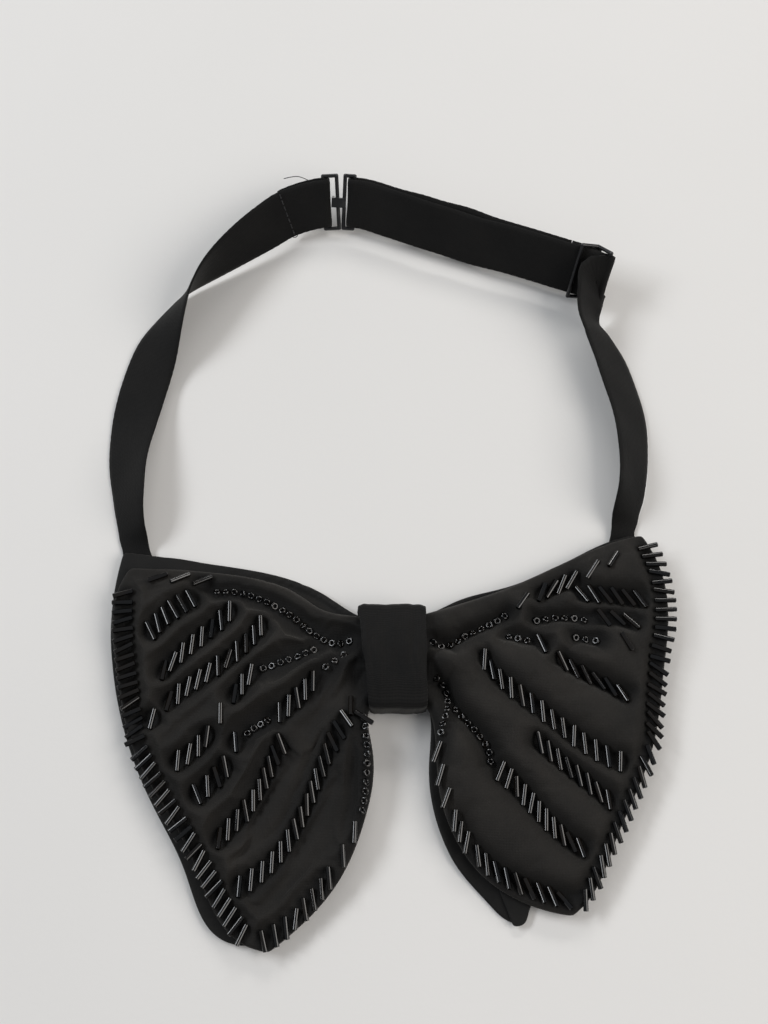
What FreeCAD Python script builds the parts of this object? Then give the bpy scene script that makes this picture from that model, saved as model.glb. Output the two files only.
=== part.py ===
import FreeCAD, Part

import math
import os

# A ready-tied bow tie in the butterfly shape, lying face up.
# Millimetres. X runs along the bow, Y from the bow towards the clasp at the back of the neck, Z up.
# The origin is the middle of the knot's back, on the surface that the bow lies on.

Vec = FreeCAD.Vector

# ---- driving dimensions ----
BAND_WIDTH = 15.0
BAND_THICK = 0.9
LAYER_GAP = 0.25
FACE_THICK = 0.5
LINING_THICK = 0.4
INTERLINING_THICK = 0.4
KNOT_LEFT = -9.9
KNOT_RIGHT = 9.8
KNOT_TOP_Y = 13.0
KNOT_LOW_Y = -17.0
KNOT_EDGE_HEIGHT = 11.0
KNOT_CROWN_HEIGHT = 14.0
KNOT_WALL = 1.1
KNOT_ROUNDING = 2.6
KNOT_SLANT = 3.4
BUGLE_LENGTH = 6.0
BUGLE_RADIUS = 0.85
BUGLE_BORE = 0.4
SEED_RADIUS = 0.72
SEED_WIRE = 0.38
BEAD_CLEARANCE = 0.22
WIRE_RADIUS = 0.6
THREAD_RADIUS = 0.2
GRID = 24

# ---- wing outlines in plan: along the top edge, down the outer edge, and along the inner edge ----
FRONT_LEFT = {
    "top": [(-0.3, 9), (-11, 9.5), (-20, 11.5), (-28, 17), (-38, 21), (-55, 23.7), (-75, 24.6)],
    "outer": [(-75, 24.6), (-78.5, 15), (-77, -4), (-71.5, -26), (-54, -56), (-41, -78), (-33, -81)],
    "inner": [(-0.3, -12.6), (-7.6, -17), (-6.4, -28), (-8, -46), (-15.3, -63.5), (-24, -73.5), (-33, -81)],
}
FRONT_RIGHT = {
    "top": [(0.3, 9), (11, 10.5), (22, 14.2), (31, 17.4), (45, 24), (60, 31), (72, 34.5)],
    "outer": [(72, 34.5), (78, 16), (76, -4), (71, -28), (60, -52), (54, -65), (48, -71.5)],
    "inner": [(0.3, -12.6), (10, -15), (13.4, -36), (17, -50), (23.5, -60), (34, -67.5), (48, -71.5)],
}
BACK_LEFT = {
    "top": [(-0.3, 10.2), (-10.2, 11.4), (-19.2, 17.6), (-29, 22.3), (-46.6, 26.2), (-64, 28.6), (-77.3, 30.2)],
    "outer": [(-77.3, 30.2), (-79.4, 18), (-78, -8), (-65.5, -42.4), (-56, -60), (-47.5, -76.5), (-40, -79.5)],
    "inner": [(-0.3, -12.9), (-7.2, -15), (-10.2, -22), (-10.6, -32), (-13, -50), (-22, -66), (-31, -76), (-40, -79.5)],
}
BACK_RIGHT = {
    "top": [(0.3, 10.2), (10.2, 11.4), (20, 16.4), (31, 19.5), (45.5, 25.2), (60.2, 32.4), (70.6, 35.4)],
    "outer": [(70.6, 35.4), (75, 18), (73, -10), (64, -35), (48, -58), (40, -65), (36.8, -69.5), (35.6, -73), (32.4, -74.4)],
    "inner": [(0.3, -12.9), (9.9, -15), (10.6, -21), (9.4, -33), (11.6, -50), (16.5, -60.4), (23.5, -68.6), (28.6, -73.4), (32.4, -74.4)],
}

# ---- bead rows in plan: points, pitch, and the bugles' own direction at the row's two ends ----
LEFT_EDGE_BUGLES = [
    ([(-54, 21), (-62, 21.5), (-73, 21.5)], 6.6, 25, 15),
    ([(-76.5, 17), (-75.5, 2), (-73, -14), (-71, -25)], 2.7, 12, 32),
    ([(-69.5, -28.5), (-61, -43.5), (-53, -56), (-46, -68), (-40, -77)], 2.8, 42, 62),
    ([(-10.2, -50.5), (-15.6, -60.5), (-23, -70), (-30, -76.5), (-37.5, -79.5)], 3.3, 88, 98),
]
LEFT_EDGE_SEEDS = [
    ([(-50, 18.2), (-43, 17.6), (-36.8, 15.4), (-30, 11.8), (-24, 7), (-18, 3.1), (-12, 3)], 2.5),
    ([(-7.9, -19.5), (-6.9, -28), (-7.2, -38), (-8.6, -47)], 2.5),
]
LEFT_VEIN_BUGLES = [
    ([(-57, 15.4), (-62, 12), (-68, 6)], 3.2, 122, 112),
    ([(-46, 11.8), (-52.6, 5.4), (-60, -1), (-66, -8)], 3.4, 92, 78),
    ([(-37, 7.4), (-42.6, 0.5), (-54.8, -8.4), (-66.5, -19)], 3.4, 94, 76),
    ([(-39.5, -7), (-44, -13), (-51.4, -24.5), (-62, -32)], 3.5, 88, 90),
    ([(-22, -9), (-26.6, -14.1), (-31, -18)], 3.4, 92, 98),
    ([(-43, -26), (-46, -33), (-50, -37.5), (-56, -42)], 3.3, 96, 108),
    ([(-23.5, -19.2), (-31.6, -28.6), (-37.5, -41.2), (-47, -52), (-51, -57)], 3.5, 112, 84),
    ([(-12.5, -20), (-18.4, -30.6), (-22.9, -42), (-29.6, -54.6), (-41, -64.5)], 3.5, 112, 86),
]
LEFT_VEIN_SEEDS = [
    ([(-22, 0.5), (-30, -3), (-36, -5)], 2.5),
    ([(-13.5, -1.5), (-18.5, -5)], 2.5),
    ([(-34.5, -19.5), (-40, -23)], 2.5),
]
RIGHT_EDGE_BUGLES = [
    ([(37, 14.5), (45, 18.5), (55, 23), (66, 28)], 3.3, 62, 55),
    ([(73.5, 31), (77, 20), (76.5, 4)], 2.7, 5, -12),
    ([(75.6, 1), (73.6, -13), (72.2, -25)], 3.0, 152, 128),
    ([(71, -29), (66, -40), (60, -52), (56, -60), (51.5, -68)], 3.4, 114, 98),
    ([(23, -56.5), (32, -63), (41, -66.5), (49, -69)], 3.1, 94, 120),
    ([(12.2, -29), (13.6, -38), (16.2, -46), (20, -53)], 3.2, 64, 84),
]
RIGHT_EDGE_SEEDS = [
    ([(11.5, 2.5), (15, 1.5), (21, 5), (28, 8.4), (34, 12.5)], 2.5),
    ([(12.4, -8), (15.2, -12), (14.2, -20), (13, -26)], 2.5),
]
RIGHT_VEIN_BUGLES = [
    ([(51, 17.5), (60, 16.8), (70.5, 15.5)], 3.4, 124, 120),
    ([(60, 10), (66, 9.5), (71, 7)], 3.6, 126, 132),
    ([(62, 3.6), (67.3, 1.6), (72, -2.5)], 3.8, 118, 124),
    ([(42, 2), (52.6, -5.6), (59, -8.7), (70, -16.5)], 3.6, 115, 118),
    ([(25.7, -3), (31.9, -10.1), (40.8, -16.8), (50, -24), (66, -32)], 3.6, 94, 91),
    ([(40.5, -26), (46.4, -31), (54, -37.2), (64, -46)], 3.6, 98, 104),
    ([(29.5, -34), (36, -40.3), (43, -48), (53.5, -55.5)], 2.9, 74, 108),
]
RIGHT_VEIN_SEEDS = [
    ([(41, 9.4), (48, 10.5), (54.5, 9.9)], 2.5),
    ([(52, 4.6), (57.5, 3.6)], 2.5),
    ([(33, 4.5), (38, 3.4)], 2.5),
    ([(17.5, -16.5), (22, -21.5), (25.5, -26), (27, -31)], 2.5),
]

# ---- neckband stations: plan place, lean from flat in degrees, width, height of the lower edge ----
LEFT_STATIONS = [
    (-74.2, 31.6, 10, 8.0, 0.6),
    (-75.3, 37.0, 38, 10.5, 0.6),
    (-76.6, 46.0, 44, 13.8, 0.6),
    (-77.3, 62.0, 30, 15.0, 0.6),
    (-75.1, 79.0, 12, 15.0, 0.6),
    (-71.8, 92.0, 16, 15.0, 0.6),
    (-67.1, 103.5, 46, 15.0, 0.7),
    (-62.0, 112.3, 70, 15.0, 0.9),
    (-55.7, 119.6, 92, 15.0, 1.3),
    (-47.0, 127.2, 112, 15.0, 1.9),
    (-38.5, 134.4, 128, 15.0, 2.4),
    (-31.6, 139.2, 134, 15.0, 2.8),
]
RIGHT_STATIONS = [
    (67.3, 37.4, 12, 7.0, 0.6),
    (68.3, 42.6, 48, 11.0, 0.6),
    (69.8, 49.0, 62, 14.0, 0.6),
    (71.0, 61.0, 60, 15.0, 0.6),
    (70.0, 74.2, 56, 15.0, 0.6),
    (66.4, 87.9, 58, 15.0, 0.6),
    (62.3, 98.2, 66, 15.0, 0.8),
    (59.6, 103.0, 66, 15.0, 2.0),
    (59.6, 108.2, 58, 15.0, 4.2),
]
TAIL_LENGTH = 20.0
TAIL_WIDTH = 12.0
FRAME_STEP = 4.0

# ---- clasp, doubled run and slider ----
CLASP_LEAN = 135.0
LOOP_RADIUS = 1.25
EYE_BAR = Vec(-20.8, 143.0, 8.1)
EYE_DIRECTION = 3.0
EYE_REACH = 4.2
HARDWARE_HALF_WIDTH = 8.25
HOOK_BAR = Vec(-11.66, 143.0, 8.1)
HOOK_DIRECTION = -4.0
HOOK_FRONT = 2.95
HOOK_TIP = 6.8
HOOK_TONGUE_WIDTH = 3.0
HOOK_PLATE = 0.75
HOOK_LIP = 1.7
RUN_START = Vec(-13.1, 144.0, 8.1)
RUN_DIRECTION = -19.0
RUN_STRAIGHT_FROM = 14.0
RUN_LENGTH = 78.0
SLIDER_BAR_SPACING = 4.5
SLIDER_TAB = 8.0
STITCH_SPACING = 2.0


def smooth(low, high, value):
    """Goes from 0 at low to 1 at high with level ends."""
    t = min(1.0, max(0.0, (value - low) / (high - low)))
    return t * t * (3.0 - 2.0 * t)


def save(node, shapes):
    """Writes one node's solids to its own file."""
    shape = shapes[0] if len(shapes) == 1 else Part.makeCompound(shapes)
    shape.exportStep("parts/" + node + ".step")
    print(node, len(shape.Solids), round(shape.Volume, 2), shape.isValid())


def curve_through(points):
    """A smooth edge through plan points."""
    curve = Part.BSplineCurve()
    curve.interpolate([Vec(p[0], p[1], 0) for p in points])
    return curve.toShape()


def at_share(edge, share):
    """The point at a share of an edge's length."""
    length = min(edge.Length, max(0.0, edge.Length * share))
    return edge.valueAt(edge.getParameterByLength(length))


# ---- heights of the cloth layers over the table ----
def back_under(x, y):
    """The back layer's underside: on the table, lifted by the knot's wall and the neckband's tails."""
    knot = (KNOT_WALL + 0.5) * (1.0 - smooth(11.0, 24.0, abs(x)))
    tail = (BAND_THICK + 0.4) * smooth(52.0, 62.0, abs(x)) * smooth(-6.0, 6.0, y)
    return 0.1 + max(knot, tail)


def back_top(x, y):
    return back_under(x, y) + LINING_THICK + INTERLINING_THICK + FACE_THICK + 2.0 * LAYER_GAP


def front_under(x, y):
    return back_top(x, y) + 0.3


def wadding_thickness(x, y):
    """The front layer's filling: fullest beside the knot, thin at the outer edge."""
    beside_knot = math.exp(-(((abs(x) - 27.0) / 30.0) ** 2) - ((y + 14.0) / 36.0) ** 2)
    return 0.4 + 4.6 * beside_knot


def front_top(x, y):
    cloth = LINING_THICK + FACE_THICK + 2.0 * LAYER_GAP
    return front_under(x, y) + cloth + wadding_thickness(x, y)


# ---- solids between two skins ----
def closed_skin(top, bottom):
    """A solid between two grids of points with the same plan."""
    upper = Part.BSplineSurface()
    upper.interpolate(top)
    lower = Part.BSplineSurface()
    lower.interpolate(bottom)
    faces = [upper.toShape(), lower.toShape()]
    u0, u1, v0, v1 = upper.bounds()
    s0, s1, t0, t1 = lower.bounds()
    pairs = [
        (upper.uIso(u0), lower.uIso(s0)),
        (upper.uIso(u1), lower.uIso(s1)),
        (upper.vIso(v0), lower.vIso(t0)),
        (upper.vIso(v1), lower.vIso(t1)),
    ]
    for high, low in pairs:
        faces.append(Part.makeRuledSurface(high.toShape(), low.toShape()))
    shell = Part.Shell(Part.makeCompound(faces).Faces)
    shell.sewShape()
    solid = Part.Solid(Part.Shell(shell.Faces))
    if solid.Volume < 0:
        solid.reverse()
    return solid


def wing_plan(outline):
    """The wing's plan as a place for each share along it and across it."""
    top = curve_through(outline["top"])
    outer = curve_through(outline["outer"])
    inner = curve_through(outline["inner"])
    waist_top = at_share(top, 0)
    waist_low = at_share(inner, 0)
    corner = at_share(outer, 0)
    tip = at_share(outer, 1)

    def place(along, across):
        sides = at_share(top, along) * (1 - across) + at_share(inner, along) * across
        ends = (waist_top * (1 - across) + waist_low * across) * (1 - along)
        ends = ends + at_share(outer, across) * along
        corners = (waist_top * (1 - across) + waist_low * across) * (1 - along)
        corners = corners + (corner * (1 - across) + tip * across) * along
        return sides + ends - corners

    return place


def cloth_layer(plan, low, high, inset=0.0):
    """One layer of a wing between two heights, held in from the outline by a share."""
    top = []
    bottom = []
    for i in range(GRID + 1):
        along = inset + (1.0 - 2.0 * inset) * i / GRID
        upper_row = []
        lower_row = []
        for j in range(GRID + 1):
            across = inset + (1.0 - 2.0 * inset) * j / GRID
            p = plan(along, across)
            upper_row.append(Vec(p.x, p.y, high(p.x, p.y)))
            lower_row.append(Vec(p.x, p.y, low(p.x, p.y)))
        top.append(upper_row)
        bottom.append(lower_row)
    return closed_skin(top, bottom)


def stack(base, start, thickness):
    """The two heights of a layer that starts so far above a base height."""
    return (
        lambda x, y: base(x, y) + start,
        lambda x, y: base(x, y) + start + thickness,
    )


def back_wing(side, outline):
    """The plain layer: lining, interlining and face."""
    plan = wing_plan(outline)
    low, high = stack(back_under, 0.0, LINING_THICK)
    save("back_lining_" + side, [cloth_layer(plan, low, high)])
    low, high = stack(back_under, LINING_THICK + LAYER_GAP, INTERLINING_THICK)
    save("back_interlining_" + side, [cloth_layer(plan, low, high, 0.02)])
    low, high = stack(back_top, -FACE_THICK, FACE_THICK)
    save("back_face_" + side, [cloth_layer(plan, low, high)])


def front_wing(side, outline):
    """The beaded layer: lining, wadding and face."""
    plan = wing_plan(outline)
    low, high = stack(front_under, 0.0, LINING_THICK)
    save("front_lining_" + side, [cloth_layer(plan, low, high)])
    low = stack(front_under, LINING_THICK + LAYER_GAP, 0.0)[0]
    high = stack(front_top, -FACE_THICK - LAYER_GAP, 0.0)[0]
    save("front_wadding_" + side, [cloth_layer(plan, low, high, 0.02)])
    low, high = stack(front_top, -FACE_THICK, FACE_THICK)
    save("front_face_" + side, [cloth_layer(plan, low, high)])


# ---- beads ----
def bead_ends(centre, degrees, length):
    """The two ends of a bugle that lies on the front face."""
    half = Vec(math.cos(math.radians(degrees)), math.sin(math.radians(degrees)), 0) * (length / 2)
    ends = []
    for p in (centre - half, centre + half):
        ends.append(Vec(p.x, p.y, front_top(p.x, p.y) + BUGLE_RADIUS + BEAD_CLEARANCE))
    return ends


def bugle(ends):
    """A glass tube with its bore."""
    along = ends[1] - ends[0]
    tube = Part.makeCylinder(BUGLE_RADIUS, along.Length, ends[0], along)
    return tube.cut(Part.makeCylinder(BUGLE_BORE, along.Length, ends[0], along))


def seed(centre):
    """A small glass ring that lies flat."""
    z = front_top(centre.x, centre.y) + SEED_WIRE + BEAD_CLEARANCE
    return Part.makeTorus(SEED_RADIUS, SEED_WIRE, Vec(centre.x, centre.y, z))


def apart(ends, others, distance):
    """True where a bead keeps a distance from every other bead's axis."""
    middle = (ends[0] + ends[1]) * 0.5
    for other in others:
        if (middle - (other[0] + other[1]) * 0.5).Length > BUGLE_LENGTH + 2.0:
            continue
        line = Part.makeLine(*ends) if ends[0] != ends[1] else Part.Vertex(ends[0])
        mate = Part.makeLine(*other) if other[0] != other[1] else Part.Vertex(other[0])
        if line.distToShape(mate)[0] < distance:
            return False
    return True


def row_places(points, pitch):
    """Places at even steps along a row, each with its share of the row."""
    edge = curve_through(points) if len(points) > 2 else Part.makeLine(
        Vec(*points[0], 0), Vec(*points[1], 0)
    )
    count = max(1, int(round(edge.Length / pitch)))
    return [(at_share(edge, i / count), i / count) for i in range(count + 1)]


def bugle_rows(rows, placed):
    """The bugles of several rows, each clear of those already placed."""
    solids = []
    for points, pitch, first, last in rows:
        for centre, share in row_places(points, pitch):
            ends = bead_ends(centre, first + (last - first) * share, BUGLE_LENGTH)
            if apart(ends, placed, 2 * BUGLE_RADIUS + 0.1):
                placed.append(ends)
                solids.append(bugle(ends))
    return solids


def seed_rows(rows, placed):
    """The seed beads of several rows, each clear of those already placed."""
    solids = []
    for points, pitch in rows:
        for centre, share in row_places(points, pitch):
            z = front_top(centre.x, centre.y) + SEED_WIRE + BEAD_CLEARANCE
            spot = Vec(centre.x, centre.y, z)
            if apart((spot, spot), placed, SEED_RADIUS + SEED_WIRE + BUGLE_RADIUS + 0.1):
                placed.append((spot, spot))
                solids.append(seed(centre))
    return solids


def beads(side, edge_bugles, vein_bugles, edge_seeds, vein_seeds):
    """One wing's beads: the rows along its edges and the veins between them."""
    placed = []
    save("edge_bugles_" + side, bugle_rows(edge_bugles, placed))
    save("vein_bugles_" + side, bugle_rows(vein_bugles, placed))
    save("edge_seed_beads_" + side, seed_rows(edge_seeds, placed))
    save("vein_seed_beads_" + side, seed_rows(vein_seeds, placed))


# ---- knot ----
def knot_ring(offset):
    """The knot's section across the bow, drawn in by an offset: flat back, rounded sides, crowned top."""
    low_y = KNOT_LOW_Y + offset
    top_y = KNOT_TOP_Y - offset
    floor = offset
    side = KNOT_EDGE_HEIGHT - offset
    crown = KNOT_CROWN_HEIGHT - offset
    r = KNOT_ROUNDING - 0.5 * offset
    bevel = r * (1 - math.sqrt(0.5))
    middle = (low_y + top_y) / 2

    def p(y, z):
        return Vec(0, y, z)

    edges = [
        Part.makeLine(p(low_y + r, floor), p(top_y - r, floor)),
        Part.Arc(p(top_y - r, floor), p(top_y - bevel, floor + bevel), p(top_y, floor + r)).toShape(),
        Part.makeLine(p(top_y, floor + r), p(top_y, side - r)),
        Part.Arc(p(top_y, side - r), p(top_y - bevel, side - bevel + 0.3), p(top_y - r, side + 0.4)).toShape(),
        Part.Arc(p(top_y - r, side + 0.4), p(middle, crown), p(low_y + r, side + 0.4)).toShape(),
        Part.Arc(p(low_y + r, side + 0.4), p(low_y + bevel, side - bevel + 0.3), p(low_y, side - r)).toShape(),
        Part.makeLine(p(low_y, side - r), p(low_y, floor + r)),
        Part.Arc(p(low_y, floor + r), p(low_y + bevel, floor + bevel), p(low_y + r, floor)).toShape(),
    ]
    return Part.Wire(edges)


def knot():
    """The wrap round both waists, its padding, the gathering thread and the closing stitches."""
    length = KNOT_RIGHT - KNOT_LEFT
    outside = Part.Face(knot_ring(0)).extrude(Vec(length, 0, 0))
    inside = Part.Face(knot_ring(KNOT_WALL)).extrude(Vec(length, 0, 0))
    wrap = outside.cut(inside)
    wrap.translate(Vec(KNOT_LEFT, 0, 0))
    corner = Part.makePolygon([
        Vec(KNOT_LEFT - 1, KNOT_TOP_Y, -1),
        Vec(KNOT_LEFT, KNOT_TOP_Y, -1),
        Vec(KNOT_LEFT + KNOT_SLANT, KNOT_LOW_Y - 1, -1),
        Vec(KNOT_LEFT - 1, KNOT_LOW_Y - 1, -1),
        Vec(KNOT_LEFT - 1, KNOT_TOP_Y, -1),
    ])
    wrap = wrap.cut(Part.Face(corner).extrude(Vec(0, 0, KNOT_CROWN_HEIGHT + 2)))
    save("knot_wrap", [wrap])

    low_z = front_top(0, 0) + 1.4
    pad = Part.Face(knot_ring(KNOT_WALL + 0.3)).extrude(Vec(length - 6, 0, 0))
    pad.translate(Vec(KNOT_LEFT + 4, 0, 0))
    below = Part.makeBox(60, 60, low_z + 20, Vec(-30, -30, -20))
    save("knot_padding", [pad.cut(below)])

    high_z = front_top(0, 0) + 0.7
    low_z = KNOT_WALL + 0.12
    low_y = -14.3
    top_y = 11.35
    bevel = 1.0
    path = Part.makePolygon([
        Vec(0, low_y + bevel, low_z),
        Vec(0, top_y - bevel, low_z),
        Vec(0, top_y, low_z + bevel),
        Vec(0, top_y, high_z),
        Vec(0, low_y, high_z),
        Vec(0, low_y, low_z + bevel),
        Vec(0, low_y + bevel, low_z),
    ])
    loop = Part.Face(path)
    inner = Part.Face(path.makeOffset2D(-2 * THREAD_RADIUS))
    thread = loop.cut(inner).extrude(Vec(2 * THREAD_RADIUS, 0, 0))
    thread.translate(Vec(-THREAD_RADIUS, 0, 0))
    save("waist_thread", [thread])


# ---- neckband ----
def lean_vector(inward, lean):
    """The direction across the band, from its lower edge to its upper edge."""
    a = math.radians(lean)
    return inward * math.cos(a) + Vec(0, 0, math.sin(a))


def eased(times, values, time):
    """A value that runs smoothly through given values at given times."""
    k = max(i for i in range(len(times) - 1) if time >= times[i] or i == 0)
    slopes = []
    for i in (k, k + 1):
        a = max(0, i - 1)
        b = min(len(times) - 1, i + 1)
        slopes.append((values[b] - values[a]) / (times[b] - times[a]))
    span = times[k + 1] - times[k]
    t = (time - times[k]) / span
    start = (1 + 2 * t) * (1 - t) ** 2 * values[k] + t * (1 - t) ** 2 * span * slopes[0]
    end = t * t * (3 - 2 * t) * values[k + 1] + t * t * (t - 1) * span * slopes[1]
    return start + end


def band_frames(stations, first_heading, last_heading, turn, step):
    """Places along a band, each with its middle, its direction across, its normal and its width."""
    times = [0.0]
    for a, b in zip(stations, stations[1:]):
        times.append(times[-1] + math.hypot(b[0] - a[0], b[1] - a[1]))
    path = Part.BSplineCurve()
    path.interpolate(
        Points=[Vec(s[0], s[1], 0) for s in stations],
        Parameters=times,
        InitialTangent=first_heading,
        FinalTangent=last_heading,
    )
    count = max(4, int(round(times[-1] / step)))
    frames = []
    for i in range(count + 1):
        time = times[-1] * i / count
        place = path.value(time)
        heading = Vec(*path.tangent(time)[0])
        lean, width, low = [eased(times, [s[k] for s in stations], time) for k in (2, 3, 4)]
        across = lean_vector(Vec(heading.y, -heading.x, 0) * turn, lean)
        middle = Vec(place.x, place.y, low + across.z * width / 2)
        frames.append((middle, across, heading.cross(across).normalize(), width))
    return frames


def ribbon(frames):
    """A band as one thin solid through its places."""
    top = []
    bottom = []
    for middle, across, normal, width in frames:
        upper_row = []
        lower_row = []
        for share in (-0.5, -0.17, 0.17, 0.5):
            p = middle + across * (width * share)
            upper_row.append(p + normal * (BAND_THICK / 2))
            lower_row.append(p - normal * (BAND_THICK / 2))
        top.append(upper_row)
        bottom.append(lower_row)
    return closed_skin(top, bottom)


def clasp_placement(origin, direction):
    """Local axes of a straight stretch: X along it, Y across it, Z out of its inner face."""
    along = Vec(math.cos(math.radians(direction)), math.sin(math.radians(direction)), 0)
    across = lean_vector(Vec(along.y, -along.x, 0), CLASP_LEAN)
    return FreeCAD.Placement(origin, FreeCAD.Rotation(along, across, along.cross(across), "XYZ"))


def placed(shape, placement):
    copy = shape.copy()
    copy.Placement = placement.multiply(copy.Placement)
    return copy


def station_at(placement, x, z):
    """The band station at a place in a straight stretch's local axes."""
    p = placement.multVec(Vec(x, 0, z))
    return (p.x, p.y, CLASP_LEAN, BAND_WIDTH, p.z - math.sin(math.radians(CLASP_LEAN)) * BAND_WIDTH / 2)


def half_turn(placement, facing, count=10):
    """Frames of the band round a bar, from its inner face to its outer face."""
    layer = LOOP_RADIUS + BAND_THICK / 2
    across = placement.Rotation.multVec(Vec(0, 1, 0))
    frames = []
    for i in range(1, count):
        a = math.pi * i / count
        spot = Vec(facing * math.sin(a), 0, math.cos(a))
        normal = placement.Rotation.multVec(spot)
        frames.append((placement.multVec(spot * layer), across, normal, BAND_WIDTH))
    return frames


def folded_end(front, placement, facing, gap_far):
    """The end of a band that goes round a bar and lies back behind itself; front ends at the bar."""
    layer = LOOP_RADIUS + BAND_THICK / 2
    back = []
    for i, (middle, across, normal, width) in enumerate(front):
        depth = gap_far + (2 * layer - gap_far) * i / (len(front) - 1)
        back.append((middle - normal * depth, across, normal * -1, width))
    return ribbon(front + half_turn(placement, facing) + back[::-1])


def flat_layer(x0, x1, z):
    """A straight layer of band between two places, at a height over the stretch's middle."""
    return Part.makeBox(x1 - x0, BAND_WIDTH, BAND_THICK, Vec(x0, -BAND_WIDTH / 2, z - BAND_THICK / 2))


def bent_layer(x, z, inner_radius):
    """The half turn of a straight band round a bar on its far side."""
    start = Vec(x, -BAND_WIDTH / 2, z)
    outer = Part.makeCylinder(inner_radius + BAND_THICK, BAND_WIDTH, start, Vec(0, 1, 0))
    hollow = Part.makeCylinder(inner_radius, BAND_WIDTH, start, Vec(0, 1, 0))
    far_side = Part.makeBox(10, 40, 20, Vec(x, -20, z - 10))
    return outer.cut(hollow).common(far_side)


def wire_path(points, closed=True):
    """Round wire along straight stretches with ball corners."""
    ends = points[1:] + points[:1] if closed else points[1:]
    solid = None
    for a, b in zip(points, ends):
        rod = Part.makeCylinder(WIRE_RADIUS, (b - a).Length, a, b - a)
        ball = Part.makeSphere(WIRE_RADIUS, a)
        piece = rod.fuse(ball)
        solid = piece if solid is None else solid.fuse(piece)
    if not closed:
        solid = solid.fuse(Part.makeSphere(WIRE_RADIUS, points[-1]))
    return solid.removeSplitter()


def stitch_row(x, z_low, z_high, placement):
    """A row of stitches across the band, through the gap between its layers."""
    stitches = []
    for k in range(-3, 4):
        foot = Vec(x, STITCH_SPACING * k, z_low)
        stitch = Part.makeCylinder(THREAD_RADIUS, z_high - z_low, foot)
        stitches.append(placed(stitch, placement))
    return stitches


def tail(side, x, y, direction):
    """The band's sewn end, flat under the back wing's corner."""
    shape = Part.makeBox(TAIL_WIDTH, TAIL_LENGTH, BAND_THICK, Vec(-TAIL_WIDTH / 2, -TAIL_LENGTH, 0))
    shape.rotate(Vec(0, 0, 0), Vec(0, 0, 1), direction)
    shape.translate(Vec(x, y, 0.1))
    save("band_tail_" + side, [shape])


def left_band():
    """The left run from the wing to the eye, with its folded end and bar tack, and the eye."""
    tail("left", -71.6, 30.4, 4)
    frame = clasp_placement(EYE_BAR, EYE_DIRECTION)
    layer = LOOP_RADIUS + BAND_THICK / 2
    heading = frame.Rotation.multVec(Vec(1, 0, 0))
    stations = LEFT_STATIONS + [station_at(frame, 0, layer)]
    frames = band_frames(stations, Vec(-0.2, 1, 0), heading, 1, 1.0)
    split = len(frames) - 12
    save("band_left_run", [ribbon(frames[: split + 1 : 4] + [frames[split]])])
    save("band_left_end", [folded_end(frames[split:], frame, 1, BAND_THICK + 0.3)])
    middle, across, normal, width = frames[split + 1]
    along = across.cross(normal)
    tack = FreeCAD.Placement(middle, FreeCAD.Rotation(along, across, normal, "XYZ"))
    gap = BAND_THICK / 2
    save("band_left_bar_tack", stitch_row(0, -gap - 0.28, -gap - 0.02, tack))
    ring = wire_path([
        Vec(0, -HARDWARE_HALF_WIDTH, 0),
        Vec(EYE_REACH, -HARDWARE_HALF_WIDTH, 0),
        Vec(EYE_REACH, HARDWARE_HALF_WIDTH, 0),
        Vec(0, HARDWARE_HALF_WIDTH, 0),
    ])
    save("eye", [placed(ring, frame)])


def hook(frame):
    """A wire frame round the band's loop, with a tongue that reaches over the eye's far bar."""
    ring = wire_path([
        Vec(0, -HARDWARE_HALF_WIDTH, 0),
        Vec(-HOOK_FRONT, -HARDWARE_HALF_WIDTH, 0),
        Vec(-HOOK_FRONT, HARDWARE_HALF_WIDTH, 0),
        Vec(0, HARDWARE_HALF_WIDTH, 0),
    ])
    half = HOOK_TONGUE_WIDTH / 2
    low = WIRE_RADIUS + 0.15
    root = Part.makeBox(1.2, 2 * half, low + HOOK_PLATE, Vec(-HOOK_FRONT - 0.6, -half, 0))
    plate = Part.makeBox(HOOK_TIP - HOOK_FRONT + 0.6, 2 * half, HOOK_PLATE, Vec(-HOOK_TIP, -half, low))
    lip = Part.makeBox(HOOK_PLATE, 2 * half, HOOK_LIP + HOOK_PLATE, Vec(-HOOK_TIP, -half, low - HOOK_LIP))
    save("hook", [placed(ring.fuse([root, plate, lip]).removeSplitter(), frame)])


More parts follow.
